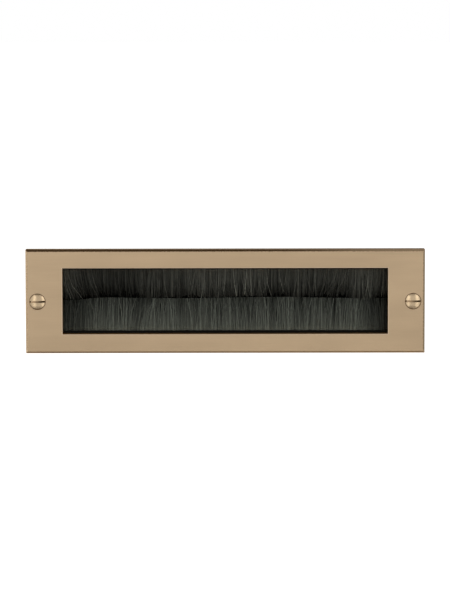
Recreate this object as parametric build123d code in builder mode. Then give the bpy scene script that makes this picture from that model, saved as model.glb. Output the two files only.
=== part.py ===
from build123d import *
import math
import os
import random

os.makedirs("parts", exist_ok=True)

# An inner letter plate: a cast brass frame that covers the inside of a letter slot in a door,
# with two nylon brushes that close the slot against draughts. All sizes are in millimetres.
# X runs along the plate, Z is up and the front faces -Y. The door's face is the plane y = 0,
# and the origin lies on it, halfway between the two fixing screws.

# Frame
plate_length = 254.0
plate_height = 66.0
plate_depth = 11.0
front_wall = 6.0
rim_width = 3.0
front_bevel = 1.1
slot_length = 207.2
slot_height = 42.0
slot_rise = 0.2
slot_arris = 0.3
recess_corner = 2.0
recess_draft = 1.5
countersink_angle = 90.0

# Fixing screws: 1 inch number 10 wood screws with raised countersunk heads
screw_spacing = 239.0
screw_length = 25.4
shank_diameter = 4.2
thread_diameter = 4.8
head_diameter = 9.7
head_land = 0.2
dome_height = 1.3
screw_slot_width = 1.2
screw_slot_depth = 2.2
gimlet_length = 4.6
end_boss_diameter = 14.0
clearance_diameter = 5.2
countersink_diameter = 10.4

# Brushes: steel channel folded from sheet, with the pile folded round a core wire inside. Their
# heights are taken from the line midway between them, which lies a little above the plate's middle.
channel_length = 222.0
channel_depth = 3.4
channel_height = 3.8
channel_sheet = 0.6
channel_fold = 0.9
mouth_height = 19.7
brush_rise = 0.6
wire_diameter = 0.9
fit_gap = 0.02

# Pile: two layers of tufts a brush, which fan out from the channel's mouth. The meeting height is
# taken from the plate's middle.
tuft_count = 30
layer_count = 2
layer_thickness = 1.1
layer_fan = 2.4
layer_foot = 0.6
pile_end_inset = 0.6
meeting_height = 2.0
meeting_drop = 1.6
meeting_drop_x = -86.0
meeting_drop_length = 3.5
meeting_ripple = 0.35
meeting_ripple_length = 120.0
closed_gap = 0.5
open_gap = 1.6
back_layer_lap = 1.6
tip_points = 3
tip_raggedness = 0.7
notch_shallow = 0.35
notch_deep = 0.85
notch_half_width = 0.3
side_lean = 0.11
wave_lean = 0.03
wave_length = 47.0
pile_seed = 7

# Stretches along X where the tips of the two piles stand apart and leave a dark gap
open_stretches = ((-89.0, -48.0), (-32.0, -16.0), (25.0, 70.0), (96.0, 104.0))

# Retaining strips and their screws
strip_length = 216.0
strip_height = 9.0
strip_thickness = 1.5
strip_below_door = 0.1
strip_wall_gap = 1.1
strip_screw_pitch = 93.0
strip_screw_count = 3
strip_screw_diameter = 2.5
strip_screw_length = 6.0
strip_screw_head = 4.7
strip_screw_cross_length = 2.4
strip_screw_cross_width = 0.6
strip_screw_cross_depth = 1.0
strip_hole_diameter = 2.8
strip_countersink = 4.9
ledge_length = 216.0
ledge_channel_gap = 0.2
ledge_screw_inset = 2.3
ledge_hole_depth = 5.4

# Places worked out from the sizes above
head_radius = head_diameter / 2
shank_radius = shank_diameter / 2
thread_radius = thread_diameter / 2
recess_depth = plate_depth - front_wall
channel_back = mouth_height + channel_height
channel_front_y = -recess_depth
channel_middle_y = channel_front_y + channel_depth / 2
ledge_face_y = channel_front_y + channel_depth
strip_back_y = -strip_below_door
ledge_foot = channel_back + ledge_channel_gap
strip_screw_height = ledge_foot + ledge_screw_inset
recess_half_height = plate_height / 2 - rim_width
ledge_height = recess_half_height + rim_width / 2 - ledge_foot
strip_middle_height = recess_half_height - strip_wall_gap - strip_height / 2
screw_rim_y = -plate_depth + (countersink_diameter - head_diameter) / 2 - head_land
thread_start_y = 0.0
pile_width = channel_depth - 2 * channel_sheet - 2 * fit_gap
wire_height = channel_back - channel_sheet - fit_gap - pile_width / 2
strip_screw_places = [
    (number - (strip_screw_count - 1) / 2) * strip_screw_pitch
    for number in range(strip_screw_count)
]


def tip_line(x):
    """Height of the line where the two piles meet. It drops at the far left of the slot."""
    drop = meeting_drop / (1 + math.exp((x - meeting_drop_x) / meeting_drop_length))
    ripple = meeting_ripple * math.sin(2 * math.pi * x / meeting_ripple_length)
    return meeting_height - drop + ripple


def tip_gap(x):
    """Gap between the tips of the two piles at x."""
    in_open_stretch = any(low <= x <= high for low, high in open_stretches)
    return open_gap if in_open_stretch else closed_gap


def lean(x):
    """Sideways lean of the bristles, as a slope: inwards at both ends, with a slow wave."""
    inward = -side_lean * x / (channel_length / 2)
    return inward + wave_lean * math.sin(2 * math.pi * x / wave_length)


def comb_outline(side, layer, draw):
    """Outline of one layer of tufts in its own plane, with a ragged edge and notches between tufts."""
    half = channel_length / 2 - pile_end_inset
    pitch = 2 * half / tuft_count
    first_cut = pitch * (layer + 1) / layer_count
    inner_cuts = [-half + first_cut + pitch * tuft for tuft in range(tuft_count - 1)]
    cuts = [-half] + inner_cuts + [half]
    back_reach = side * back_layer_lap if layer == 0 else 0.0
    points = [(half, side * layer_foot), (-half, side * layer_foot)]
    for left, right in zip(cuts, cuts[1:]):
        for tip in range(tip_points):
            share = tip / (tip_points - 1)
            root_x = left + (right - left) * share
            inset = notch_half_width * (1 - 2 * share)
            tip_height = side * (tip_line(root_x) - brush_rise) + tip_gap(root_x) / 2
            reach = mouth_height - tip_height + back_reach
            reach = reach - tip_raggedness * draw.random()
            points.append((root_x + inset + lean(root_x) * reach, -side * reach))
        if right < half:
            depth = mouth_height * draw.uniform(1 - notch_deep, 1 - notch_shallow)
            points.append((right + lean(right) * depth, -side * depth))
    return points


# Frame: one brass casting with a deep front wall, a rim round the back and a boss at each end
with BuildPart() as frame:
    with BuildSketch(Plane.XZ):
        Rectangle(plate_length, plate_height)
    extrude(amount=plate_depth)
    front_face = frame.faces().sort_by(Axis.Y)[0]
    chamfer(front_face.edges(), length=front_bevel)

    # The recess at the back leaves a full-height boss round each fixing screw
    with BuildSketch(Plane.XZ):
        RectangleRounded(plate_length - 2 * rim_width, 2 * recess_half_height, recess_corner)
        with GridLocations(screw_spacing, 0, 2, 1):
            Circle(end_boss_diameter / 2, mode=Mode.SUBTRACT)
    extrude(amount=recess_depth, taper=recess_draft, mode=Mode.SUBTRACT)

    with BuildSketch(Plane.XZ):
        with Locations((0, slot_rise)):
            Rectangle(slot_length, slot_height)
    extrude(amount=plate_depth, mode=Mode.SUBTRACT)
    slot_rim = frame.faces().sort_by(Axis.Y)[0].inner_wires()[0]
    fillet(slot_rim.edges(), radius=slot_arris)

    # A ledge inside the rim, above and below the slot, takes the screws of the retaining strips
    with BuildSketch(Plane.XZ.offset(-ledge_face_y)):
        with Locations((0, brush_rise)):
            with GridLocations(0, 2 * ledge_foot + ledge_height, 1, 2):
                Rectangle(ledge_length, ledge_height)
    extrude(amount=channel_depth)
    with Locations(
        *[
            Plane(origin=(x, ledge_face_y, brush_rise + side * strip_screw_height), z_dir=(0, 1, 0))
            for x in strip_screw_places
            for side in (1, -1)
        ]
    ):
        Hole(strip_screw_diameter / 2 + fit_gap, depth=ledge_hole_depth)

    # Countersunk holes for the fixing screws
    with Locations(
        *[
            Plane(origin=(side * screw_spacing / 2, -plate_depth, 0), z_dir=(0, -1, 0))
            for side in (1, -1)
        ]
    ):
        CounterSinkHole(
            clearance_diameter / 2,
            countersink_diameter / 2,
            depth=plate_depth,
            counter_sink_angle=countersink_angle,
        )
frame.part.label = "frame"
export_step(frame.part, "parts/frame.step")

# Fixing screws: turned brass wood screws, their slots level
for name, side in (("fixing_screw_left", -1), ("fixing_screw_right", 1)):
    with BuildPart() as fixing_screw:
        cone_end_y = screw_rim_y + head_land + head_radius - shank_radius
        tip_y = screw_rim_y + screw_length
        dome_top_y = screw_rim_y - dome_height
        with BuildSketch(Plane.XY):
            with BuildLine():
                rim_point = (head_radius, screw_rim_y)
                dome_radius = (head_radius**2 + dome_height**2) / (2 * dome_height)
                RadiusArc((0, dome_top_y), rim_point, -dome_radius)
                Polyline(
                    rim_point,
                    (head_radius, screw_rim_y + head_land),
                    (shank_radius, cone_end_y),
                    (shank_radius, thread_start_y + shank_radius - thread_radius),
                    (thread_radius, thread_start_y),
                    (thread_radius, tip_y - gimlet_length),
                    (0, tip_y),
                    (0, dome_top_y),
                )
            make_face()
        revolve(axis=Axis.Y)
        with BuildSketch(Plane.XZ.offset(-dome_top_y)):
            Rectangle(2 * head_diameter, screw_slot_width)
        extrude(amount=-screw_slot_depth, mode=Mode.SUBTRACT)
    fixing_screw.part.label = name
    placed_screw = Pos(side * screw_spacing / 2, 0, 0) * fixing_screw.part
    placed_screw.label = name
    export_step(placed_screw, f"parts/{name}.step")

for brush, side in (("upper", 1), ("lower", -1)):
    # Channel: sheet steel folded into a U, its mouth towards the middle of the slot
    with BuildPart() as channel:
        leg = (channel_depth - channel_sheet) / 2
        fold_height = channel_back - channel_sheet / 2
        with BuildSketch(Plane.YZ.offset(-channel_length / 2)):
            with BuildLine():
                FilletPolyline(
                    (channel_middle_y - leg, brush_rise + side * mouth_height),
                    (channel_middle_y - leg, brush_rise + side * fold_height),
                    (channel_middle_y + leg, brush_rise + side * fold_height),
                    (channel_middle_y + leg, brush_rise + side * mouth_height),
                    radius=channel_fold,
                )
            trace(line_width=channel_sheet)
        extrude(amount=channel_length)
    channel.part.label = f"{brush}_channel"
    export_step(channel.part, f"parts/{brush}_channel.step")

    # Core wire, with the pile folded over it
    with BuildPart() as wire:
        with BuildSketch(Plane.YZ.offset(-channel_length / 2)):
            with Locations((channel_middle_y, brush_rise + side * wire_height)):
                Circle(wire_diameter / 2)
        extrude(amount=channel_length)
    wire.part.label = f"{brush}_wire"
    export_step(wire.part, f"parts/{brush}_wire.step")

    # Bristles: the root fills the channel, and the layers of tufts fan out of its mouth
    with BuildPart() as bristles:
        draw = random.Random(pile_seed + side)
        root_foot = mouth_height + fit_gap
        with BuildSketch(Plane.YZ.offset(-channel_length / 2)):
            with Locations((channel_middle_y, brush_rise + side * (root_foot + wire_height) / 2)):
                Rectangle(pile_width, wire_height - root_foot)
            with Locations((channel_middle_y, brush_rise + side * wire_height)):
                Circle(pile_width / 2)
                Circle(wire_diameter / 2 + fit_gap, mode=Mode.SUBTRACT)
        extrude(amount=channel_length)
        for layer in range(layer_count):
            place = (layer_count - 1) / 2 - layer
            angle = math.radians(place * layer_fan)
            layer_y = channel_middle_y + place * (pile_width - layer_thickness) / (layer_count - 1)
            layer_plane = Plane(
                origin=(0, layer_y, brush_rise + side * mouth_height),
                x_dir=(1, 0, 0),
                z_dir=(0, -math.cos(angle), -side * math.sin(angle)),
            )
            with BuildSketch(layer_plane):
                with BuildLine():
                    Polyline(*comb_outline(side, layer, draw), close=True)
                make_face()
            extrude(amount=layer_thickness / 2, both=True)
    bristles.part.label = f"{brush}_bristles"
    export_step(bristles.part, f"parts/{brush}_bristles.step")

    # Retaining strip: flat rolled brass that clamps the channel against the front wall
    with BuildPart() as strip:
        with BuildSketch(Plane.XZ.offset(strip_below_door)):
            with Locations((0, brush_rise + side * strip_middle_height)):
                Rectangle(strip_length, strip_height)
        extrude(amount=strip_thickness)
        with Locations(
            *[
                Plane(origin=(x, strip_back_y, brush_rise + side * strip_screw_height), z_dir=(0, 1, 0))
                for x in strip_screw_places
            ]
        ):
            CounterSinkHole(
                strip_hole_diameter / 2,
                strip_countersink / 2,
                depth=strip_thickness,
                counter_sink_angle=countersink_angle,
            )
    strip.part.label = f"{brush}_strip"
    export_step(strip.part, f"parts/{brush}_strip.step")

    # Strip screws: countersunk machine screws with cross recesses, driven from the back into the ledge
    for number, x in enumerate(strip_screw_places, start=1):
        with BuildPart() as strip_screw:
            head_y = strip_back_y - (strip_countersink - strip_screw_head) / 2
            with BuildSketch(Plane.XY):
                Polygon(
                    (0, head_y),
                    (strip_screw_head / 2, head_y),
                    (strip_screw_diameter / 2, head_y - (strip_screw_head - strip_screw_diameter) / 2),
                    (strip_screw_diameter / 2, head_y - strip_screw_length),
                    (0, head_y - strip_screw_length),
                    align=None,
                )
            revolve(axis=Axis.Y)
            with BuildSketch(Plane.XZ.offset(-head_y)):
                Rectangle(strip_screw_cross_length, strip_screw_cross_width)
                Rectangle(strip_screw_cross_width, strip_screw_cross_length)
            extrude(amount=strip_screw_cross_depth, mode=Mode.SUBTRACT)
        placed_screw = Pos(x, 0, brush_rise + side * strip_screw_height) * strip_screw.part
        placed_screw.label = f"{brush}_strip_screw_{number}"
        export_step(placed_screw, f"parts/{brush}_strip_screw_{number}.step")
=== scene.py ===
import bpy
import bmesh
import math
import random
from mathutils import Matrix, Vector
from types import SimpleNamespace


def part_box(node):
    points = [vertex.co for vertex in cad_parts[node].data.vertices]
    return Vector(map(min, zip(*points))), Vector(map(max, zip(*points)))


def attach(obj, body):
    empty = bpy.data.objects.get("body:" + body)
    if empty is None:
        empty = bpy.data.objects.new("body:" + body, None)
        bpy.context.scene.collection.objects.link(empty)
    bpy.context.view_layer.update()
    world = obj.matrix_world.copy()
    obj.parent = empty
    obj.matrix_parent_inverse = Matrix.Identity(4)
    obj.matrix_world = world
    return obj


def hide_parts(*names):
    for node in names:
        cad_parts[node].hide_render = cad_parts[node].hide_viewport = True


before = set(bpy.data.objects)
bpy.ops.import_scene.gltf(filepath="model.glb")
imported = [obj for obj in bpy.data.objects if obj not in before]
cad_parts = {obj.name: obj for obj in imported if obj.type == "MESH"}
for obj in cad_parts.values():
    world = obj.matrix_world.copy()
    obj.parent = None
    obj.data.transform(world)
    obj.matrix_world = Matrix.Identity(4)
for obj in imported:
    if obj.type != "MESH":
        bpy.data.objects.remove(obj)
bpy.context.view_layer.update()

# Studio: the camera stands square to the plate and looks down on it a little, with a long lens. Two
# tall soft lamps stand left and right of it and a small card hangs over the right end. The floor is
# white. The room, which the brass mirrors, is pale in front, dim behind and dark brown overhead.
mm = 0.001
plate_low, plate_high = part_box("frame")
camera_elevation = math.radians(5.5)
camera_distance = 1.82
camera_roll = math.radians(-0.09)
camera_aim = Vector((-0.15 * mm, plate_low.y, 0.95 * mm))
camera_data = bpy.data.cameras.new("studio_camera")
camera_data.lens = 171.7
camera = bpy.data.objects.new("studio_camera", camera_data)
bpy.context.scene.collection.objects.link(camera)
toward_camera = Vector((0, -math.cos(camera_elevation), math.sin(camera_elevation)))
camera.location = camera_aim + camera_distance * toward_camera
facing_plate = (-toward_camera).to_track_quat("-Z", "Y").to_matrix()
camera.rotation_euler = (facing_plate @ Matrix.Rotation(camera_roll, 3, "Z")).to_euler()
bpy.context.scene.camera = camera
bpy.context.scene.view_settings.view_transform = "Standard"

# Each lamp: its turn to the right and its lift as seen from the plate, in degrees, its distance,
# width and height in metres, and its power in watts
lamps = (
    ("left_lamp", -30.0, 18.0, 1.7, 0.6, 1.3, 2.3),
    ("right_lamp", 40.0, 18.0, 1.7, 0.6, 1.3, 2.3),
    ("top_card", 78.0, 61.0, 0.58, 0.5, 0.4, 0.4),
)
for lamp_name, turn, lift, distance, width, height, power in lamps:
    lamp_data = bpy.data.lights.new(lamp_name, "AREA")
    lamp_data.shape = "RECTANGLE"
    lamp_data.size = width
    lamp_data.size_y = height
    lamp_data.energy = power
    lamp = bpy.data.objects.new(lamp_name, lamp_data)
    bpy.context.scene.collection.objects.link(lamp)
    out = distance * math.cos(math.radians(lift))
    across = out * math.sin(math.radians(turn))
    forward = -out * math.cos(math.radians(turn))
    lamp.location = (across, forward, distance * math.sin(math.radians(lift)))
    lamp.rotation_euler = lamp.location.to_track_quat("Z", "Y").to_euler()


def put(tree, kind, inputs=None, **settings):
    """Adds a node to a tree, with its settings, and sets or joins its inputs by name or place."""
    new = tree.nodes.new(kind)
    for key, value in settings.items():
        setattr(new, key, value)
    for key, value in (inputs or {}).items():
        if isinstance(value, bpy.types.NodeSocket):
            tree.links.new(value, new.inputs[key])
        else:
            new.inputs[key].default_value = value
    return new


def reckon(tree, operation, *values):
    """Adds a Math node and gives its result."""
    inputs = dict(enumerate(values))
    return put(tree, "ShaderNodeMath", inputs, operation=operation).outputs[0]


def fade(tree, value, start, end, first, last):
    """A value that goes smoothly from the first level to the last as the given one passes the range."""
    limits = {"Value": value, "From Min": start, "From Max": end, "To Min": first, "To Max": last}
    return put(tree, "ShaderNodeMapRange", limits, interpolation_type="SMOOTHSTEP").outputs[0]


def blend_colors(tree, mask, first, second):
    """Colour that goes from the first to the second with a mask."""
    mixed = put(tree, "ShaderNodeMix", {0: mask, 6: first, 7: second}, data_type="RGBA")
    return mixed.outputs[2]


# The room's light by the direction that it comes from. Each fade: the two directions that it lies
# between, from -1 to 1 along its axis, and the strengths before and after it. The front's fades into
# the back's.
back_fade = (0.22, 0.4, 0.08, 0.4)
front_fade = (-0.4, 0.2, 0.95)
below_ceiling_fade = (0.62, 0.95, 1.0, 0.0)
left_fade = (-0.97, -0.82, 1.9, 0.0)
right_fade = (0.55, 0.85, 0.0, 0.65)
skirting_fade = (0.045, 0.07, 1.0, 0.0)
ceiling_brown = (0.13, 0.086, 0.05, 1)
wall_white = (1, 1, 1, 1)
world = bpy.data.worlds.new("studio_room")
world.use_nodes = True
room_tree = world.node_tree
room_tree.nodes.clear()
bpy.context.scene.world = world
direction = put(room_tree, "ShaderNodeTexCoord").outputs["Generated"]
toward = put(room_tree, "ShaderNodeSeparateXYZ", {0: direction}).outputs
back_level = fade(room_tree, toward["Z"], *back_fade)
front_level = fade(room_tree, toward["Y"], *front_fade, back_level)
below_ceiling = fade(room_tree, toward["Z"], *below_ceiling_fade)
left_level = fade(room_tree, toward["X"], *left_fade)
right_level = fade(room_tree, toward["X"], *right_fade)
side_level = reckon(room_tree, "MAXIMUM", left_level, right_level)
around_level = reckon(room_tree, "MAXIMUM", front_level, side_level)
wall_level = reckon(room_tree, "MULTIPLY", around_level, below_ceiling)
skirting = fade(room_tree, toward["Z"], *skirting_fade)
room_level = reckon(room_tree, "MAXIMUM", wall_level, skirting)
room_color = blend_colors(room_tree, below_ceiling, ceiling_brown, wall_white)
overhead = reckon(room_tree, "SUBTRACT", 1.0, below_ceiling)
lit_level = reckon(room_tree, "MAXIMUM", room_level, overhead)
room = put(room_tree, "ShaderNodeBackground", {"Color": room_color, "Strength": lit_level})
put(room_tree, "ShaderNodeOutputWorld", {"Surface": room.outputs[0]})


def new_material(name):
    """A material with an empty tree. Gives both."""
    material = bpy.data.materials.new(name)
    material.use_nodes = True
    material.node_tree.nodes.clear()
    return material, material.node_tree


def link_mesh(name, mesh, *materials):
    """An object at the origin that shows the mesh in its materials."""
    shown = bpy.data.objects.new(name, mesh)
    bpy.context.scene.collection.objects.link(shown)
    for material in materials:
        mesh.materials.append(material)
    return shown


# The floor lights the plate as matt white. The camera and the brass see it as a dim glossy sheet
# with a glow, which is strong for the camera, so that it renders white, and faint in what mirrors it.
floor_half_size = 30.0
floor_white = (0.9, 0.9, 0.9, 1)
sheet_grey = (0.2, 0.2, 0.2, 1)
gloss_white = (0.78, 0.78, 0.78, 1)
gloss_roughness = 0.08
mirrored_glow = 0.1
camera_glow = 0.88
floor_shape = bmesh.new()
bmesh.ops.create_grid(
    floor_shape, x_segments=1, y_segments=1, size=floor_half_size,
    matrix=Matrix.Translation((0, 0, plate_low.z)),
)
floor_mesh = bpy.data.meshes.new("studio_floor")
floor_shape.to_mesh(floor_mesh)
floor_shape.free()
floor_paint, tree = new_material("white_floor")
matt = put(tree, "ShaderNodeBsdfDiffuse", {"Color": floor_white})
dim_matt = put(tree, "ShaderNodeBsdfDiffuse", {"Color": sheet_grey})
ray = put(tree, "ShaderNodeLightPath").outputs
glow = reckon(tree, "MULTIPLY_ADD", ray["Is Camera Ray"], camera_glow, mirrored_glow)
glowing = put(tree, "ShaderNodeEmission", {"Color": (1, 1, 1, 1), "Strength": glow})
gloss = put(tree, "ShaderNodeBsdfGlossy", {"Color": gloss_white, "Roughness": gloss_roughness})
glossy_sheet = put(tree, "ShaderNodeAddShader", {0: dim_matt.outputs[0], 1: gloss.outputs[0]})
seen_sheet = put(tree, "ShaderNodeAddShader", {0: glossy_sheet.outputs[0], 1: glowing.outputs[0]})
mirrored = reckon(tree, "MAXIMUM", ray["Is Glossy Ray"], ray["Is Transmission Ray"])
seen = reckon(tree, "MAXIMUM", ray["Is Camera Ray"], mirrored)
floor_finish = put(tree, "ShaderNodeMixShader", {0: seen, 1: matt.outputs[0], 2: seen_sheet.outputs[0]})
put(tree, "ShaderNodeOutputMaterial", {"Surface": floor_finish.outputs[0]})
link_mesh("studio_floor", floor_mesh, floor_paint)


# Frame: one sand-cast brass piece, milled on its front and edges, rubbed to an even satin and
# lacquered. Handling has burnished its arrises. The outer bevel is also painted darker, a painted shade
# for the dark room that it mirrors, and the countersink round each screw is painted dark, a painted
# shadow in the gap round the head. The hollow at the back is left as it was cast.
def new_group(name, inputs, outputs):
    """A shader node group with named sockets. Gives its tree and the inputs as the tree reads them."""
    group = bpy.data.node_groups.new(name, "ShaderNodeTree")
    for socket_name, kind, value in inputs:
        socket = group.interface.new_socket(socket_name, in_out="INPUT", socket_type=kind)
        if value is not None:
            socket.default_value = value
    for socket_name, kind in outputs:
        group.interface.new_socket(socket_name, in_out="OUTPUT", socket_type=kind)
    return group, put(group, "NodeGroupInput").outputs


def past_rectangle(tree, x, z, middle_height, half_length, half_height):
    """How far a place lies outside an upright rectangle about the middle. Inside it is less than 0."""
    past_end = reckon(tree, "SUBTRACT", reckon(tree, "ABSOLUTE", x), half_length)
    from_middle = reckon(tree, "ABSOLUTE", reckon(tree, "SUBTRACT", z, middle_height))
    past_top = reckon(tree, "SUBTRACT", from_middle, half_height)
    return reckon(tree, "MAXIMUM", past_end, past_top)


# Edge band: a mask along an upright rectangle's outline on a face across Y. It carries real wear along
# the slot and painted shade on the outer bevel. The band that it fills is uneven, from least_band to
# least_band + band_wobble of the width given; it is full up to a set share of that and fades out past it.
band_noise_scale = 900.0
band_wobble = 0.9
least_band = 0.55
full_mask_share = 0.6
edge_wear_and_shade, given = new_group(
    "edge_wear_and_shade",
    (
        ("Position", "NodeSocketVector", None),
        ("Middle Height", "NodeSocketFloat", 0.0),
        ("Half Length", "NodeSocketFloat", 0.1),
        ("Half Height", "NodeSocketFloat", 0.02),
        ("Face Y", "NodeSocketFloat", 0.0),
        ("Band", "NodeSocketFloat", 0.0005),
    ),
    (("Mask", "NodeSocketFloat"),),
)
place = put(edge_wear_and_shade, "ShaderNodeSeparateXYZ", {0: given["Position"]}).outputs
past = past_rectangle(
    edge_wear_and_shade, place["X"], place["Z"], given["Middle Height"], given["Half Length"], given["Half Height"],
)
off_outline = reckon(edge_wear_and_shade, "ABSOLUTE", past)
off_face = reckon(edge_wear_and_shade, "ABSOLUTE", reckon(edge_wear_and_shade, "SUBTRACT", place["Y"], given["Face Y"]))
off_edge = reckon(edge_wear_and_shade, "MAXIMUM", off_outline, off_face)
band_noise = put(
    edge_wear_and_shade, "ShaderNodeTexNoise",
    {"Vector": given["Position"], "Scale": band_noise_scale, "Detail": 2.0},
)
uneven = reckon(edge_wear_and_shade, "MULTIPLY_ADD", band_noise.outputs[0], band_wobble, least_band)
band = reckon(edge_wear_and_shade, "MULTIPLY", given["Band"], uneven)
across_band = reckon(edge_wear_and_shade, "DIVIDE", off_edge, band)
mask = put(
    edge_wear_and_shade, "ShaderNodeMapRange",
    {"Value": across_band, "From Min": full_mask_share, "From Max": 1.0, "To Min": 1.0, "To Max": 0.0},
)
put(edge_wear_and_shade, "NodeGroupOutput", {"Mask": mask.outputs[0]})

# Rubbed brass: fine scratches, and clouds of deeper and paler colour that are drawn out along X.
# Nearly all of a noise texture lies between noise_low and noise_high.
noise_low = 0.3
noise_high = 0.7
cloud_stretch = (0.2, 1.0, 1.0)
cloud_scale = 70.0
deepest_cloud = 0.94
palest_cloud = 1.06
scratch_tint = 0.16
rubbed_brass, given = new_group(
    "rubbed_brass",
    (
        ("Position", "NodeSocketVector", None),
        ("Brass", "NodeSocketColor", (0.5, 0.37, 0.23, 1)),
        ("Scratch Size", "NodeSocketVector", (60.0, 3500.0, 3500.0)),
        ("Least Roughness", "NodeSocketFloat", 0.32),
        ("Most Roughness", "NodeSocketFloat", 0.44),
    ),
    (("Color", "NodeSocketColor"), ("Roughness", "NodeSocketFloat"), ("Height", "NodeSocketFloat")),
)


def scaled(tree, position, scales):
    """The position, scaled along each axis."""
    return put(tree, "ShaderNodeVectorMath", {0: position, 1: scales}, operation="MULTIPLY").outputs[0]


scratched = scaled(rubbed_brass, given["Position"], given["Scratch Size"])
scratches = put(rubbed_brass, "ShaderNodeTexNoise", {"Vector": scratched, "Scale": 1.0, "Detail": 3.0})
drawn_out = scaled(rubbed_brass, given["Position"], cloud_stretch)
clouds = put(
    rubbed_brass, "ShaderNodeTexNoise", {"Vector": drawn_out, "Scale": cloud_scale, "Detail": 2.0},
)
noise_range = {"From Min": noise_low, "From Max": noise_high}
tint = put(
    rubbed_brass, "ShaderNodeMapRange",
    {"Value": clouds.outputs[0], **noise_range, "To Min": deepest_cloud, "To Max": palest_cloud},
)
fine_tint = reckon(rubbed_brass, "MULTIPLY_ADD", scratches.outputs[0], scratch_tint, 1 - scratch_tint / 2)
level = reckon(rubbed_brass, "MULTIPLY", tint.outputs[0], fine_tint)
brass = put(rubbed_brass, "ShaderNodeVectorMath", {0: given["Brass"], "Scale": level}, operation="SCALE")
least, most = given["Least Roughness"], given["Most Roughness"]
roughness = put(
    rubbed_brass, "ShaderNodeMapRange",
    {"Value": scratches.outputs[0], **noise_range, "To Min": least, "To Max": most},
)
put(
    rubbed_brass, "NodeGroupOutput",
    {"Color": brass.outputs[0], "Roughness": roughness.outputs[0], "Height": scratches.outputs[0]},
)


def place_group(tree, group, inputs):
    """Places a node group in a material, with its own values."""
    return put(tree, "ShaderNodeGroup", inputs, node_tree=group)


def blend_values(tree, mask, first, second):
    """Value that goes from the first to the second with a mask."""
    return put(tree, "ShaderNodeMix", {0: mask, 2: first, 3: second}, data_type="FLOAT").outputs[0]


def object_position(tree):
    """The place on the object that a material is worked out at."""
    return put(tree, "ShaderNodeTexCoord").outputs["Object"]


def bump(tree, height, distance, strength):
    """The normal of a surface with this relief."""
    relief = {"Height": height, "Distance": distance, "Strength": strength}
    return put(tree, "ShaderNodeBump", relief).outputs[0]


def finish(tree, inputs):
    """Ends a material in a Principled shader with these inputs."""
    shader = put(tree, "ShaderNodeBsdfPrincipled", inputs)
    put(tree, "ShaderNodeOutputMaterial", {"Surface": shader.outputs[0]})


# The fixing screws stand at the same distance left and right of the middle.
screw_low, screw_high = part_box("fixing_screw_right")
screw_x = (screw_low.x + screw_high.x) / 2


def from_own_screw(tree, x):
    """Place along X, measured from the middle of the fixing screw at that end."""
    own_middle = reckon(tree, "MULTIPLY", reckon(tree, "SIGN", x), screw_x)
    return reckon(tree, "SUBTRACT", x, own_middle)


slot_rise = 0.2 * mm
slot_half_length = 103.6 * mm
slot_half_height = 21.0 * mm
slot_wall_reach = 0.05 * mm
outer_band = 1.5 * mm
slot_band = 0.45 * mm
# The foot of the plate, where the outer bevel gets less of its painted shade.
foot_start = plate_low.z + 1.5 * mm
foot_end = plate_low.z + 2.5 * mm
foot_shade_share = 0.45
least_facing = 0.5
milled_skin = 0.05 * mm
countersink_radius = 5.25 * mm
# The countersink's painted shadow fades towards the left of each screw between these places, down to its
# least share.
countersink_shadow_start = -5.2 * mm
countersink_shadow_end = -4.2 * mm
least_countersink_shadow = 0.3
# Of the colours below, the bevel's is a painted shade and the countersink's a painted shadow.
face_brass = (0.482, 0.3565, 0.227, 1)
bevel_shade_brass = (0.3, 0.22, 0.14, 1)
worn_brass = (0.6, 0.48, 0.35, 1)
countersink_shadow_brass = (0.16, 0.1, 0.05, 1)
slot_wall_brass = (0.5, 0.3, 0.12, 1)
dark_casting = (0.16, 0.1, 0.045, 1)
pale_casting = (0.34, 0.23, 0.11, 1)
bevel_roughness = 0.2
worn_roughness = 0.28
slot_wall_roughness = 0.5
casting_roughness = 0.62
satin_relief = 0.05
satin_brass, tree = new_material("satin_brass")
position = object_position(tree)
satin = place_group(tree, rubbed_brass, {"Position": position, "Brass": face_brass}).outputs
outer_edge = place_group(
    tree,
    edge_wear_and_shade,
    {
        "Position": position,
        "Half Length": plate_high.x,
        "Half Height": plate_high.z,
        "Face Y": plate_low.y,
        "Band": outer_band,
    },
).outputs[0]
slot_edge = place_group(
    tree,
    edge_wear_and_shade,
    {
        "Position": position,
        "Middle Height": slot_rise,
        "Half Length": slot_half_length,
        "Half Height": slot_half_height,
        "Face Y": plate_low.y,
        "Band": slot_band,
    },
).outputs[0]
true_normal = put(tree, "ShaderNodeNewGeometry").outputs["True Normal"]
facing_y = put(tree, "ShaderNodeSeparateXYZ", {0: true_normal}).outputs["Y"]
place = put(tree, "ShaderNodeSeparateXYZ", {0: position}).outputs

# The hollow's floor faces back and lies below the rim, whose back is milled.
faces_back = reckon(tree, "GREATER_THAN", facing_y, least_facing)
below_rim = reckon(tree, "LESS_THAN", place["Y"], -milled_skin)
as_cast = reckon(tree, "MULTIPLY", faces_back, below_rim)
cast_lumps = put(
    tree, "ShaderNodeTexNoise", {"Vector": position, "Scale": 900.0, "Detail": 5.0, "Roughness": 0.65},
)
cast_stain = put(tree, "ShaderNodeTexNoise", {"Vector": position, "Scale": 60.0, "Detail": 4.0})
cast_color = blend_colors(tree, cast_stain.outputs[0], dark_casting, pale_casting)

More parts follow.
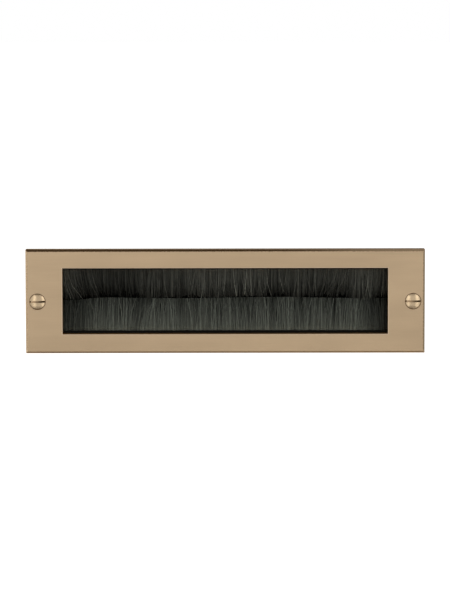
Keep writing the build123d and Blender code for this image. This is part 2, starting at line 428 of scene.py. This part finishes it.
# The bevel is smoother than the face and painted deeper in colour, a painted shade for the dark room
# that it mirrors, but less so along the foot of the plate. The countersink's painted shadow round each
# screw is fainter at its left, where it mirrors the light from the right.
above_foot = fade(tree, place["Z"], foot_start, foot_end, foot_shade_share, 1.0)
bevel_shade = reckon(tree, "MULTIPLY", outer_edge, above_foot)
across_screw = from_own_screw(tree, place["X"])
across_squared = reckon(tree, "MULTIPLY", across_screw, across_screw)
distance_squared = reckon(tree, "MULTIPLY_ADD", place["Z"], place["Z"], across_squared)
screw_distance = reckon(tree, "SQRT", distance_squared)
in_countersink = reckon(tree, "LESS_THAN", screw_distance, countersink_radius)
countersink_shadow_level = fade(tree, across_screw, countersink_shadow_start, countersink_shadow_end, least_countersink_shadow, 1.0)
countersink_shadow = reckon(tree, "MULTIPLY", in_countersink, countersink_shadow_level)
past_slot = past_rectangle(tree, place["X"], place["Z"], slot_rise, slot_half_length, slot_half_height)
slot_wall = reckon(tree, "LESS_THAN", past_slot, slot_wall_reach)
color = blend_colors(tree, bevel_shade, satin["Color"], bevel_shade_brass)
color = blend_colors(tree, slot_edge, color, worn_brass)
color = blend_colors(tree, countersink_shadow, color, countersink_shadow_brass)
color = blend_colors(tree, slot_wall, color, slot_wall_brass)
color = blend_colors(tree, as_cast, color, cast_color)
roughness = blend_values(tree, bevel_shade, satin["Roughness"], bevel_roughness)
roughness = blend_values(tree, slot_edge, roughness, worn_roughness)
roughness = blend_values(tree, slot_wall, roughness, slot_wall_roughness)
roughness = blend_values(tree, as_cast, roughness, casting_roughness)
satin_height = reckon(tree, "MULTIPLY", satin["Height"], satin_relief)
height = blend_values(tree, as_cast, satin_height, cast_lumps.outputs[0])
finish(
    tree,
    {
        "Base Color": color,
        "Roughness": roughness,
        "Metallic": 1.0,
        "Specular Tint": (0.85, 0.68, 0.5, 1),
        "Normal": bump(tree, height, 0.12 * mm, 0.6),
    },
)


def dress(node_name, material):
    """Gives a CAD node its finish."""
    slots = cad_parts[node_name].material_slots
    for slot in slots:
        slot.material = material


dress("frame", satin_brass)

# Channels: mild steel folded into a U, pressed shut on the pile and coated black.
# They lie behind the front wall, and their lips stand into the slot above and below.
deep_coat = (0.0015, 0.0015, 0.001, 1)
pale_coat = (0.004, 0.004, 0.003, 1)
coat_roughness = 0.45
coat_roughness_spread = 0.2
black_coat, tree = new_material("black_channel")
peel_noise = {"Vector": object_position(tree), "Scale": 1400.0, "Detail": 3.0}
orange_peel = put(tree, "ShaderNodeTexNoise", peel_noise).outputs[0]
roughness = reckon(tree, "MULTIPLY_ADD", orange_peel, coat_roughness_spread, coat_roughness)
finish(
    tree,
    {
        "Base Color": blend_colors(tree, orange_peel, deep_coat, pale_coat),
        "Roughness": roughness,
        "Specular IOR Level": 0.06,
        "Normal": bump(tree, orange_peel, 0.04 * mm, 0.5),
    },
)
brushes = ("upper", "lower")
for brush in brushes:
    dress(f"{brush}_channel", black_coat)

# Core wires: hard drawn steel that each pile is folded over, seen only at the channels' ends.
# The die has left fine marks along them.
dark_steel = (0.36, 0.36, 0.36, 1)
pale_steel = (0.6, 0.6, 0.59, 1)
wire_roughness = 0.25
wire_roughness_spread = 0.2
drawn_steel, tree = new_material("core_wire")
die_marks = scaled(tree, object_position(tree), (40.0, 4000.0, 4000.0))
drawn = put(tree, "ShaderNodeTexNoise", {"Vector": die_marks, "Scale": 1.0, "Detail": 2.0}).outputs[0]
wire_color = blend_colors(tree, drawn, dark_steel, pale_steel)
roughness = reckon(tree, "MULTIPLY_ADD", drawn, wire_roughness_spread, wire_roughness)
finish(tree, {"Base Color": wire_color, "Roughness": roughness, "Metallic": 1.0})
for brush in brushes:
    dress(f"{brush}_wire", drawn_steel)

# Bristles: two piles of crimped black nylon filament, cut to length, that meet a little above the
# middle of the slot. The lower pile's front tips stand before the upper ones, which end raggedly.
# Each strand is a thin cone of three sides, cut twice so that it can bend.
strand_sides = 3
strand_cuts = (0.2, 0.6)
strand_radius = 0.125 * mm
strand_taper = 0.75
strand_template = bmesh.new()
bmesh.ops.create_cone(
    strand_template, cap_ends=True, segments=strand_sides, radius1=1.0, radius2=strand_taper, depth=1.0,
    matrix=Matrix.Translation((0, 0, 0.5)),
)
for strand_cut in strand_cuts:
    bmesh.ops.bisect_plane(
        strand_template,
        geom=strand_template.verts[:] + strand_template.edges[:] + strand_template.faces[:],
        plane_co=(0, 0, strand_cut),
        plane_no=(0, 0, 1),
    )
strand_mesh = bpy.data.meshes.new("strand")
strand_template.to_mesh(strand_mesh)
points_a_strand = len(strand_mesh.vertices)
faces_a_strand = len(strand_mesh.polygons)
strand_template.free()

# The front and rear strands are drawn by chance along the pile. The deep ones stand in even rows
# between them, keep the light out and are painted nearly black, a painted shade for the dark inside
# of the pile. A place across the pile, here called back, is -1 at its front and 1 at its rear.
channel_low, channel_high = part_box("upper_channel")
pile_half_length = channel_high.x - 0.6 * mm
pile_middle_y = (channel_low.y + channel_high.y) / 2
pile_half_depth = 1.0 * mm
root_fill = 0.95
root_depth = 1.5 * mm
front_count = 3150
deep_count = 3900
deep_rows = 4
rear_count = 1950
strand_count = front_count + deep_count + rear_count
front_back = (-1, -0.2)
stray_back = (-1.15, -1)
rear_back = (0.75, 1)
first_deep_back = -0.1
deep_back_range = 0.8
deep_tips = (-6.0 * mm, -4.5 * mm)
deep_shade_level = 0.05
deep_thickness = 1.6
deep_lean_spread = 0.004
thickness_range = (0.85, 1.15)

# The strands hang together in clumps, and within those in wisps. Each spread is the standard
# deviation of a value. A lean is how far right of its root a tip lies for each metre of the strand,
# and a shade is a power of e.
clump_pitch = 2.4 * mm
clump_lean_spread = 0.01
clump_pinch_range = (0.0, 0.1)
clump_shade_spread = 0.06
clump_length_spread = 0.2 * mm
wisp_pitch = 0.5 * mm
wisp_lean_spread = 0.018
wisp_shade_spread = 0.1
wisp_length_spread = 0.35 * mm
lower_wisp_share = 0.2
gap_raggedness = 2.0
lean_spread = 0.015
shade_spread = 0.55
tip_spread = 0.2 * mm
bow_spread = 0.15 * mm
fan_lean = 0.03
fan_spread = 0.006

# Some front strands stray: they bend aside near their tips and are painted brighter, a painted highlight
# for the light that they catch.
stray_share = 0.12
stray_bend_power = 2.1
stray_lean_spread = 0.08
stray_highlight = 0.3

# The strands are painted brighter at their roots, a painted light, and darker towards their tips, a
# painted shade, and differ more towards the tips. An upper tip is painted darker still where it stands
# clear of the lower pile, a painted shade in the gap. Where the gap, in mm, is well below 0 it crosses
# the lower pile, and there it bends forward, as all the lower pile's front tips do.
most_shading = 0.85
root_contrast = 0.35
tip_contrast = {"upper": 1.2, "lower": 0.75}
root_painted_light = {"upper": 0.9, "lower": 0.35}
tip_dimming = {"upper": 0.74, "lower": 0.75}
dimming_power = {"upper": 0.6, "lower": 0.45}
gap_dimming = 0.05
gap_dimming_range = (-2.0, 1.3)
meeting_gap = 0.3
crossing_gap = -0.5
forward_lift = -0.35 * mm

# What changes along the slot: where a stretch starts and ends along X, by how much, and how far it
# takes to come and go, in mm. A gap is how far the upper tips stand clear of the lower ones.
gaps = (
    (-93, -51, 1.8, 5), (-34, -16, 0.9, 3), (23, 43, 1.3, 3), (49, 77, 1.3, 3), (95, 104, 1.8, 3),
    (-51, -41, -1.9, 3), (79, 94, -1.5, 4),
)
leans = {
    "upper": ((-104, -80, 0.15, 10), (54, 80, -0.15, 8), (84, 104, -0.08, 8)),
    "lower": ((-64, -48, 0.12, 6), (84, 104, -0.06, 8)),
}
stray_leans = {
    "upper": ((-110, -92, 0.2, 3), (-91, -80, 0.24, 3), (68, 84, -0.3, 4), (86, 96, 0.12, 4)),
    "lower": ((-60, -44, 0.25, 6), (80, 96, 0.15, 6)),
}
# Along each brush, stretches of painted shade: darker patches and the slot's two ends. A change below 0
# paints a stretch lighter.
shaded_stretches = {
    "upper": (
        (-130, -20, 0.46, 42), (-112, -90, -0.15, 4), (22, 76, 0.2, 8), (90, 104, 0.2, 5),
        (-130, -101.8, 0.15, 0.8), (101, 130, 0.5, 1),
    ),
    "lower": (
        (-130, -86.5, 0.42, 4), (-130, -76, 0.12, 8), (86, 130, 0.5, 8), (96, 130, 0.2, 4),
        (-130, -101.8, 0.1, 0.8), (101, 130, 0.2, 1),
    ),
}

# The line where the piles meet, in mm: its height, its drop towards the left end, where that is
# halfway and how gentle it is, and its ripple.
meeting_height = 2.0
meeting_drop = 1.6
drop_x = -86.0
drop_softness = 3.5
ripple_height = 0.35
ripple_length = 120.0


def stretch_sum(x, stretches):
    """What the stretches add up to at x."""
    total = 0.0
    for start, end, change, blend in stretches:
        total += change * min(max(min(x / mm - start, end - x / mm) / blend, 0.0), 1.0)
    return total


def meeting_line(x):
    """Height of the lower pile's tips at x, in metres."""
    drop = meeting_drop / (1 + math.exp((x / mm - drop_x) / drop_softness))
    ripple = ripple_height * math.sin(2 * math.pi * x / (ripple_length * mm))
    return (meeting_height - drop + ripple) * mm


def limited(value, least_and_most):
    """The value, kept within a range."""
    least, most = least_and_most
    return min(max(value, least), most)


def draw_clumps(draw):
    """The clumps of a pile from left to right: lean, pinch, shade and length."""
    clumps = []
    for _ in range(round(2 * pile_half_length / clump_pitch)):
        lean = draw.gauss(0, clump_lean_spread)
        pinch = draw.uniform(*clump_pinch_range)
        shade = draw.gauss(0, clump_shade_spread)
        clumps.append((lean, pinch, shade, draw.gauss(0, clump_length_spread)))
    return clumps


def draw_wisps(draw):
    """The wisps of a pile from left to right: lean, shade and length."""
    wisps = []
    for _ in range(round(2 * pile_half_length / wisp_pitch)):
        lean = draw.gauss(0, wisp_lean_spread)
        shade = draw.gauss(0, wisp_shade_spread)
        wisps.append((lean, shade, draw.gauss(0, wisp_length_spread)))
    return wisps


def number_at(place, group):
    """The number of the clump or wisp at a place along the pile, from 0 to 1."""
    return min(int(place * len(group)), len(group) - 1)


def outer_strand(draw, brush, mouth, place, at_front, clumps, wisps):
    """How a strand at the front or rear of a pile lies, at its place along it from 0 to 1."""
    side = 1 if brush == "upper" else -1
    root_x = pile_half_length * (2 * place - 1)
    clump = number_at(place, clumps)
    clump_lean, pinch, clump_shade, clump_length = clumps[clump]
    clump_x = pile_half_length * (2 * (clump + 0.5) / len(clumps) - 1)
    wisp_lean, wisp_shade, wisp_length = wisps[number_at(place, wisps)]
    back = draw.uniform(*(front_back if at_front else rear_back))
    lean = stretch_sum(root_x, leans[brush]) + clump_lean + wisp_lean + draw.gauss(0, lean_spread)
    shade = clump_shade + wisp_shade + draw.gauss(0, shade_spread)
    bend_power = 1.0
    if at_front and draw.random() < stray_share:
        bend_power = stray_bend_power
        back = draw.uniform(*stray_back)
        lean += stretch_sum(root_x, stray_leans[brush]) + draw.gauss(0, stray_lean_spread)
        shade = abs(shade) + stray_highlight
    tip_x = root_x + lean * (mouth - side * meeting_line(root_x))
    tip_height = side * meeting_line(tip_x) + abs(draw.gauss(0, tip_spread))
    dimming = tip_dimming[brush]
    bends_forward = at_front
    if brush == "upper":
        gap = stretch_sum(tip_x, gaps)
        ragged = 1.0 + gap_raggedness * wisp_length / mm if gap > 0 else 1.0
        tip_height += (meeting_gap + gap * ragged) * mm + clump_length + wisp_length
        dimming += gap_dimming * limited(gap, gap_dimming_range)
        bends_forward = at_front and gap < crossing_gap
    else:
        tip_height += lower_wisp_share * wisp_length
    return SimpleNamespace(
        root_x=root_x,
        back=back,
        lean=lean,
        bend_power=bend_power,
        gather=-pinch * (root_x - clump_x),
        tip_height=tip_height,
        level=1.0 - min(stretch_sum(root_x, shaded_stretches[brush]), most_shading),
        shade=shade,
        dimming=dimming,
        lift=forward_lift if bends_forward else 0.0,
        bow=draw.gauss(0, bow_spread),
        thickness=1.0,
    )


def deep_strand(draw, number):
    """How a strand in the rows between front and rear lies."""
    row = number % deep_rows
    place = (number // deep_rows + 0.5 + 0.5 * (row % 2)) * deep_rows / deep_count
    return SimpleNamespace(
        root_x=pile_half_length * (2 * place - 1),
        back=first_deep_back + deep_back_range * (row + draw.random()) / deep_rows,
        lean=draw.gauss(0, deep_lean_spread),
        bend_power=1.0,
        gather=0.0,
        tip_height=draw.uniform(*deep_tips),
        level=deep_shade_level,
        shade=0.0,
        dimming=0.0,
        lift=0.0,
        bow=0.0,
        thickness=deep_thickness,
    )


def lay_strand(draw, points, level_layer, brush, mouth, lie):
    """Moves the points of an upright strand to where it lies in its brush, and sets their level."""
    side = 1 if brush == "upper" else -1
    length = mouth - lie.tip_height
    fan = fan_lean * lie.back + draw.gauss(0, fan_spread)
    spin = draw.uniform(0, 2 * math.pi)
    radius = strand_radius * draw.uniform(*thickness_range) * lie.thickness
    spin_cos, spin_sin = math.cos(spin), math.sin(spin)
    for point in points:
        share = point.co.z
        across = radius * (spin_cos * point.co.x - spin_sin * point.co.y)
        forward = radius * (spin_sin * point.co.x + spin_cos * point.co.y)
        x = lie.root_x + lie.lean * length * share**lie.bend_power + lie.gather * share * share
        x += lie.bow * math.sin(math.pi * share)
        y = pile_middle_y + lie.back * pile_half_depth * root_fill + fan * length * share
        y += lie.lift * share * share
        point.co = (x + across, y + forward, side * (mouth - length * share))
        # Painted light at the root and painted shade towards the tip, on top of each strand's random
        # tone:
        glow = 1.0 + root_painted_light[brush] * max(1.0 - share / strand_cuts[0], 0.0)
        contrast = math.exp(lie.shade * (root_contrast + tip_contrast[brush] * share))
        dimmed = 1.0 - lie.dimming * share**dimming_power[brush]
        point[level_layer] = lie.level * glow * contrast * dimmed


def make_pile(brush, seed):
    """All the strands of one brush."""
    draw = random.Random(seed)
    low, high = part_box(f"{brush}_channel")
    mouth = (low.z if brush == "upper" else -high.z) + root_depth
    clumps = draw_clumps(draw)
    wisps = draw_wisps(draw)
    pile = bmesh.new()
    for _ in range(strand_count):
        pile.from_mesh(strand_mesh)
    level_layer = pile.verts.layers.float.new("level")
    pile.verts.ensure_lookup_table()
    for strand in range(strand_count):
        number = strand - front_count
        if number < 0:
            place = (strand + draw.random()) / front_count
            lie = outer_strand(draw, brush, mouth, place, True, clumps, wisps)
        elif number < deep_count:
            lie = deep_strand(draw, number)
        else:
            place = (number - deep_count + draw.random()) / rear_count
            lie = outer_strand(draw, brush, mouth, place, False, clumps, wisps)
        first = strand * points_a_strand
        lay_strand(draw, pile.verts[first:first + points_a_strand], level_layer, brush, mouth, lie)
    if brush == "upper":
        bmesh.ops.reverse_faces(pile, faces=pile.faces[:])
    for number, face in enumerate(pile.faces):
        face.smooth = True
        face.material_index = int(front_count <= number // faces_a_strand < front_count + deep_count)
    mesh = bpy.data.meshes.new("pile")
    pile.to_mesh(mesh)
    pile.free()
    return mesh


def nylon(name, color):
    """Black nylon, duller or brighter from strand to strand, with painted light and shade along each
    strand.
    """
    material, tree = new_material(name)
    level = put(tree, "ShaderNodeAttribute", attribute_name="level").outputs["Fac"]
    tinted = put(tree, "ShaderNodeVectorMath", {0: color, "Scale": level}, operation="SCALE")
    finish(tree, {"Base Color": tinted.outputs[0], "Roughness": 0.4, "Specular IOR Level": 0.07})
    return material


# The deep strands are painted nearly black without gloss, a painted shade for the dark inside of the
# pile.
darkest_shade_nylon = (0.0012, 0.0012, 0.001, 1)
dark_shade_nylon = (0.0036, 0.0036, 0.003, 1)
deep_shade_nylon, tree = new_material("deep_shade_nylon")
mottle = put(tree, "ShaderNodeTexNoise", {"Vector": object_position(tree), "Scale": 800.0}).outputs[0]
deep_color = blend_colors(tree, mottle, darkest_shade_nylon, dark_shade_nylon)
finish(tree, {"Base Color": deep_color, "Roughness": 0.7, "Specular IOR Level": 0.0})
# Both piles are the same black nylon painted at two levels: the lower one paler, a painted light from
# above, and the upper one darker, a painted shade under the frame's top wall.
outer_nylon = {
    "upper": nylon("upper_nylon_shaded", (0.101, 0.103, 0.087)),
    "lower": nylon("lower_nylon_lit", (0.189, 0.205, 0.173)),
}
for brush, seed in (("upper", 11), ("lower", 23)):
    pile = link_mesh(f"{brush}_pile", make_pile(brush, seed), outer_nylon[brush], deep_shade_nylon)
    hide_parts(f"{brush}_bristles")
    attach(pile, "root")


# Retaining strips: flat brass cut from rolled stock. Each is held by three small brass machine
# screws with countersunk heads and cross recesses, and clamps a channel into the frame.
def finish_rubbed(tree, brass, scratch_size, least_roughness, most_roughness, relief=0.0):
    """Ends a material in rubbed brass of its own. The relief is the strength of the scratches' bump."""
    rubbed = place_group(
        tree,
        rubbed_brass,
        {
            "Position": object_position(tree),
            "Brass": brass,
            "Scratch Size": scratch_size,
            "Least Roughness": least_roughness,
            "Most Roughness": most_roughness,
        },
    ).outputs
    inputs = {"Base Color": rubbed["Color"], "Roughness": rubbed["Roughness"], "Metallic": 1.0}
    if relief:
        inputs["Normal"] = bump(tree, rubbed["Height"], 0.01 * mm, relief)
    finish(tree, inputs)


rolled_brass, tree = new_material("rolled_brass")
finish_rubbed(tree, (0.58, 0.42, 0.2, 1), (25.0, 1500.0, 1500.0), 0.25, 0.42, relief=0.5)
for brush in brushes:
    dress(f"{brush}_strip", rolled_brass)

# Strip screws: brass machine screws, turned and tumbled, so they are paler and rounder in their
# shine than the strips.
screws_a_strip = 3
tumbled_brass, tree = new_material("strip_screws")
finish_rubbed(tree, (0.62, 0.47, 0.25, 1), (1200.0, 1200.0, 1200.0), 0.2, 0.34)
for brush in brushes:
    for number in range(1, screws_a_strip + 1):
        dress(f"{brush}_strip_screw_{number}", tumbled_brass)

# Fixing screws: 1 inch number 10 wood screws turned from brass rod, with raised countersunk heads.
# The head is turned and slotted, the thread is cut on the lower part and ends in a gimlet point.
# Each driver slot is painted from a painted highlight at its left end, where it mirrors the light from
# the right, to a painted shade at its right end.
turned_brass, tree = new_material("turned_brass")
finish_rubbed(tree, (0.5, 0.378, 0.242, 1), (900.0, 900.0, 900.0), 0.13, 0.2, relief=0.3)
# The slot's painted highlight and painted shade, and the places between which the one turns into the
# other:
lit_slot_end = (0.6, 0.45, 0.29, 1)
shaded_slot_end = (0.06, 0.035, 0.012, 1)
slot_shade_start = -2.5 * mm
slot_shade_end = 4.0 * mm
slotted_brass, tree = new_material("slotted_brass")
place_along = put(tree, "ShaderNodeSeparateXYZ", {0: object_position(tree)}).outputs["X"]
slot_shade = fade(tree, from_own_screw(tree, place_along), slot_shade_start, slot_shade_end, 0.0, 1.0)
slot_color = blend_colors(tree, slot_shade, lit_slot_end, shaded_slot_end)
finish_rubbed(tree, slot_color, (80.0, 4000.0, 4000.0), 0.45, 0.6)
head_radius = (screw_high.z - screw_low.z) / 2
dome_height = 1.3 * mm
head_land = 0.2 * mm
shank_radius = 2.1 * mm
shank_end_y = -0.6 * mm
core_radius = 1.75 * mm
thread_radius = 2.4 * mm
thread_pitch = 2.0 * mm
thread_run_out = 0.3 * mm
ridge_half_width = 0.4 * thread_pitch
ridge_foot = core_radius - 0.15 * mm
gimlet_length = 4.6 * mm
gimlet_tip = 0.05 * mm
driver_slot_width = 1.2 * mm
driver_slot_depth = 2.2 * mm
arris_width = 0.06 * mm
arris_angle = math.radians(50)
sharp_angle = math.radians(32)
turn_steps = 96
thread_steps = 36
dome_rings = 112
rings_a_tool_mark = 4
tool_mark_rings = (1, 2)
tool_mark_depth = 0.005 * mm
weld_distance = 0.001 * mm
rim_y = screw_low.y + dome_height
tip_y = screw_high.y
axis = Vector((0, 1, 0))
middle = Vector((0, 0, 0))


def spin_profile(profile):
    """A closed solid turned round the Y axis from points given as distance out and place along Y."""
    solid = bmesh.new()
    chain = [solid.verts.new((out, along, 0)) for out, along in profile]
    edges = [solid.edges.new(pair) for pair in zip(chain, chain[1:])]
    bmesh.ops.spin(
        solid, geom=chain + edges, cent=middle, axis=axis, angle=2 * math.pi, steps=turn_steps,
        use_merge=True,
    )
    bmesh.ops.remove_doubles(solid, verts=solid.verts[:], dist=weld_distance)
    bmesh.ops.recalc_face_normals(solid, faces=solid.faces[:])
    for face in solid.faces:
        face.smooth = True
    return solid


def evaluated_mesh(shown):
    """The object's mesh with its modifiers worked out."""
    bpy.context.view_layer.update()
    evaluated = shown.evaluated_get(bpy.context.evaluated_depsgraph_get())
    return bpy.data.meshes.new_from_object(evaluated)


dome_radius = (head_radius**2 + dome_height**2) / (2 * dome_height)
dome_angle = math.asin(head_radius / dome_radius)
screw_profile = []
for number in range(dome_rings + 1):
    angle = dome_angle * number / dome_rings
    radius = dome_radius - tool_mark_depth * (number % rings_a_tool_mark in tool_mark_rings)
    screw_profile.append((radius * math.sin(angle), screw_low.y + dome_radius - radius * math.cos(angle)))
screw_profile += [
    (head_radius, rim_y + head_land),
    (shank_radius, rim_y + head_land + head_radius - shank_radius),
    (shank_radius, shank_end_y),
    (core_radius, 0.0),
    (core_radius, tip_y - gimlet_length),
    (0.0, tip_y),
]
blank_mesh = bpy.data.meshes.new("screw_body")
blank_solid = spin_profile(screw_profile)
blank_solid.to_mesh(blank_mesh)
blank_solid.free()
cutter_mesh = bpy.data.meshes.new("slot_cutter")
cutter = bmesh.new()
cutter_size = (3 * head_radius, 2 * driver_slot_depth, driver_slot_width)
cutter_place = Matrix.Translation((0, screw_low.y, 0)) @ Matrix.Diagonal((*cutter_size, 1))
bmesh.ops.create_cube(cutter, size=1.0, matrix=cutter_place)
cutter.to_mesh(cutter_mesh)
cutter.free()
cutter_object = link_mesh("slot_cutter", cutter_mesh)
blank = link_mesh("screw_blank", blank_mesh)
slotting = blank.modifiers.new("slotting", "BOOLEAN")
slotting.object = cutter_object
slotting.operation = "DIFFERENCE"
easing = blank.modifiers.new("easing", "BEVEL")
easing.width = arris_width
easing.segments = 2
easing.limit_method = "ANGLE"
easing.angle_limit = arris_angle
slotted_mesh = evaluated_mesh(blank)
for face in slotted_mesh.polygons:
    in_slot = abs(face.center.z) < 0.5 * driver_slot_width + weld_distance
    above_floor = face.center.y < screw_low.y + driver_slot_depth + weld_distance
    face.material_index = int(in_slot and above_floor)
for used in (blank, cutter_object):
    bpy.data.objects.remove(used)

# The thread is a ridge that winds down the core. It grows from nothing over its first turn and gets
# smaller with the core towards the point.
thread_turns = (tip_y - thread_run_out) / thread_pitch
thread_step_count = round(thread_steps * thread_turns)
thread = bmesh.new()
ridge = [
    thread.verts.new((ridge_foot, -ridge_half_width, 0)),
    thread.verts.new((thread_radius, 0, 0)),
    thread.verts.new((ridge_foot, ridge_half_width, 0)),
]
ridge_edges = [thread.edges.new((ridge[number - 1], ridge[number])) for number in range(3)]
bmesh.ops.spin(
    thread, geom=ridge + ridge_edges, cent=middle, axis=axis, angle=2 * math.pi * thread_turns,
    steps=thread_step_count, dvec=axis * (thread_pitch * thread_turns / thread_step_count),
)
bmesh.ops.holes_fill(thread, edges=[edge for edge in thread.edges if edge.is_boundary], sides=3)
for vertex in thread.verts:
    out = math.hypot(vertex.co.x, vertex.co.z)
    from_tip = max(tip_y - vertex.co.y, gimlet_tip)
    taper = min(from_tip / gimlet_length, 1.0)
    growth = limited((vertex.co.y + ridge_half_width) / thread_pitch, (0.0, 1.0))
    wanted = (ridge_foot + (out - ridge_foot) * growth) * taper
    vertex.co.x *= wanted / out
    vertex.co.z *= wanted / out
    vertex.co.y = min(vertex.co.y, tip_y - gimlet_tip)
bmesh.ops.recalc_face_normals(thread, faces=thread.faces[:])
thread_mesh = bpy.data.meshes.new("screw_thread")
thread.to_mesh(thread_mesh)
thread.free()
for side_name, side in (("left", -1), ("right", 1)):
    screw = bmesh.new()
    screw.from_mesh(slotted_mesh)
    screw.from_mesh(thread_mesh)
    bmesh.ops.translate(screw, verts=screw.verts[:], vec=(side * screw_x, 0, 0))
    screw_mesh = bpy.data.meshes.new(f"{side_name}_fixing_screw")
    screw.to_mesh(screw_mesh)
    screw.free()
    screw_mesh.set_sharp_from_angle(angle=sharp_angle)
    turned_screw = link_mesh(f"{side_name}_fixing_screw", screw_mesh, turned_brass, slotted_brass)
    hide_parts(f"fixing_screw_{side_name}")
    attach(turned_screw, "root")
